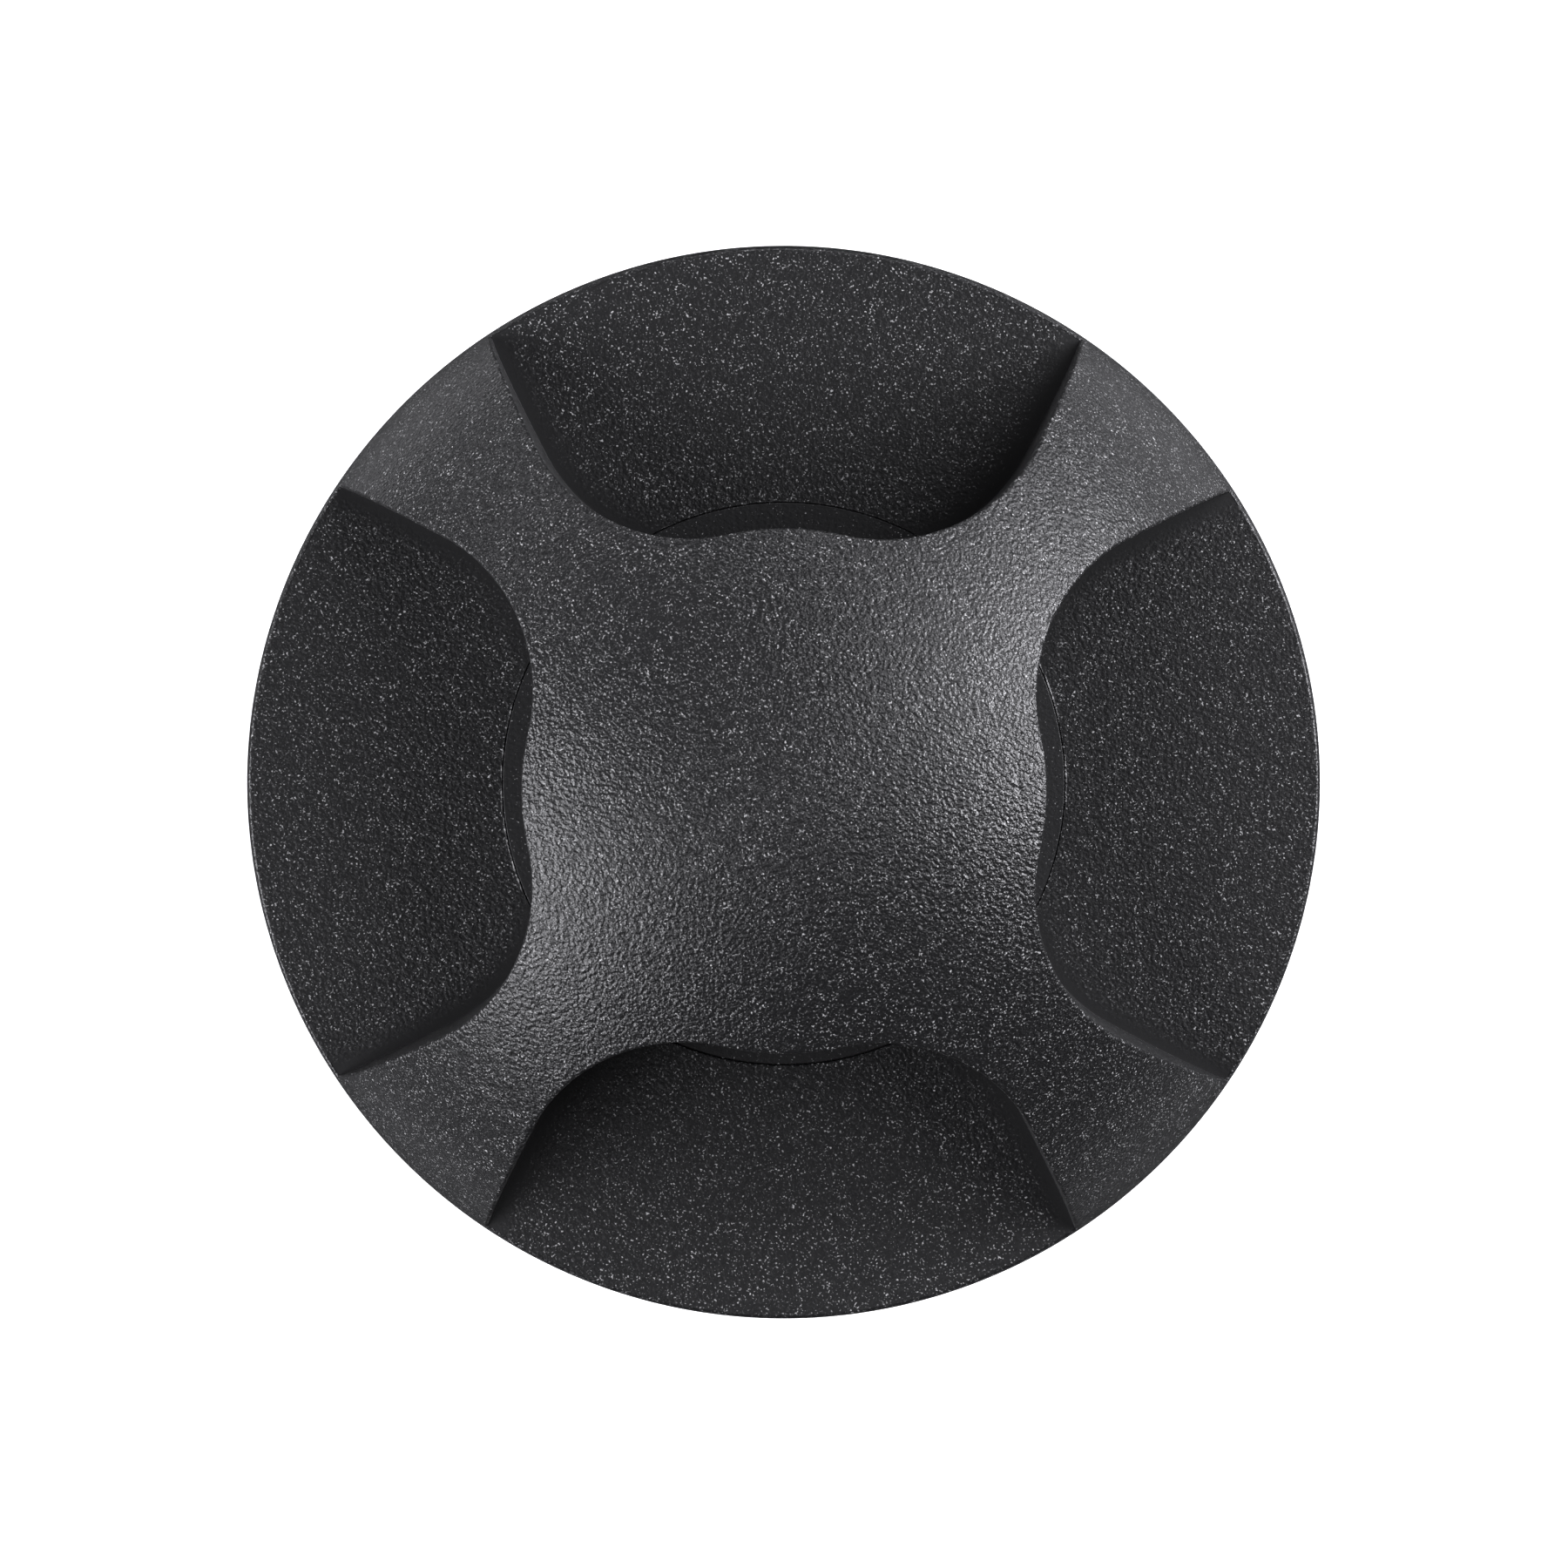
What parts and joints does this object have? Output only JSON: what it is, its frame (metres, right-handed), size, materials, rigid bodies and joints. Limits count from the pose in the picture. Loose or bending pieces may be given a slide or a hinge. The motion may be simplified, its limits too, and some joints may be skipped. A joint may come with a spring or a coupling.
{
  "type": "medicine ball",
  "caption": "Weighted exercise ball with an X of moulded grip ribs over finger windows on each half, closed round a rigid core with ballast inside.",
  "frame": {"origin": "centre of the ball", "axes": "+Z through the middle of the upper X of ribs; +X and +Y through the middles of grip windows"},
  "size_m": [0.24, 0.24, 0.24],
  "materials": {
    "shell_rubber": "satin black with a fine pebbled grain and tiny pale flecks",
    "core_plastic": "charcoal, fine pebbled grain with tiny pale flecks",
    "seal_rubber": "matte",
    "damping_rubber": "matte",
    "sleeve_foam": "closed-cell foam",
    "screw_steel": "zinc plated",
    "insert_brass": "bare",
    "ballast_iron": "as cast",
    "spacer_nylon": "natural"
  },
  "bodies": {
    "root": {"upper_grip_shell": "shell_rubber", "lower_grip_shell": "shell_rubber", "upper_core": "core_plastic", "lower_core": "core_plastic", "core_seal": "seal_rubber", "core_screws": "screw_steel", "core_inserts": "insert_brass", "upper_ballast": "ballast_iron", "lower_ballast": "ballast_iron", "ballast_spacer": "spacer_nylon", "ballast_sleeve": "sleeve_foam", "upper_pad": "damping_rubber", "lower_pad": "damping_rubber", "tie_bolt": "screw_steel", "tie_washers": "screw_steel", "tie_nut": "screw_steel", "joint_ring": "spacer_nylon"}
  },
  "joints": []
}
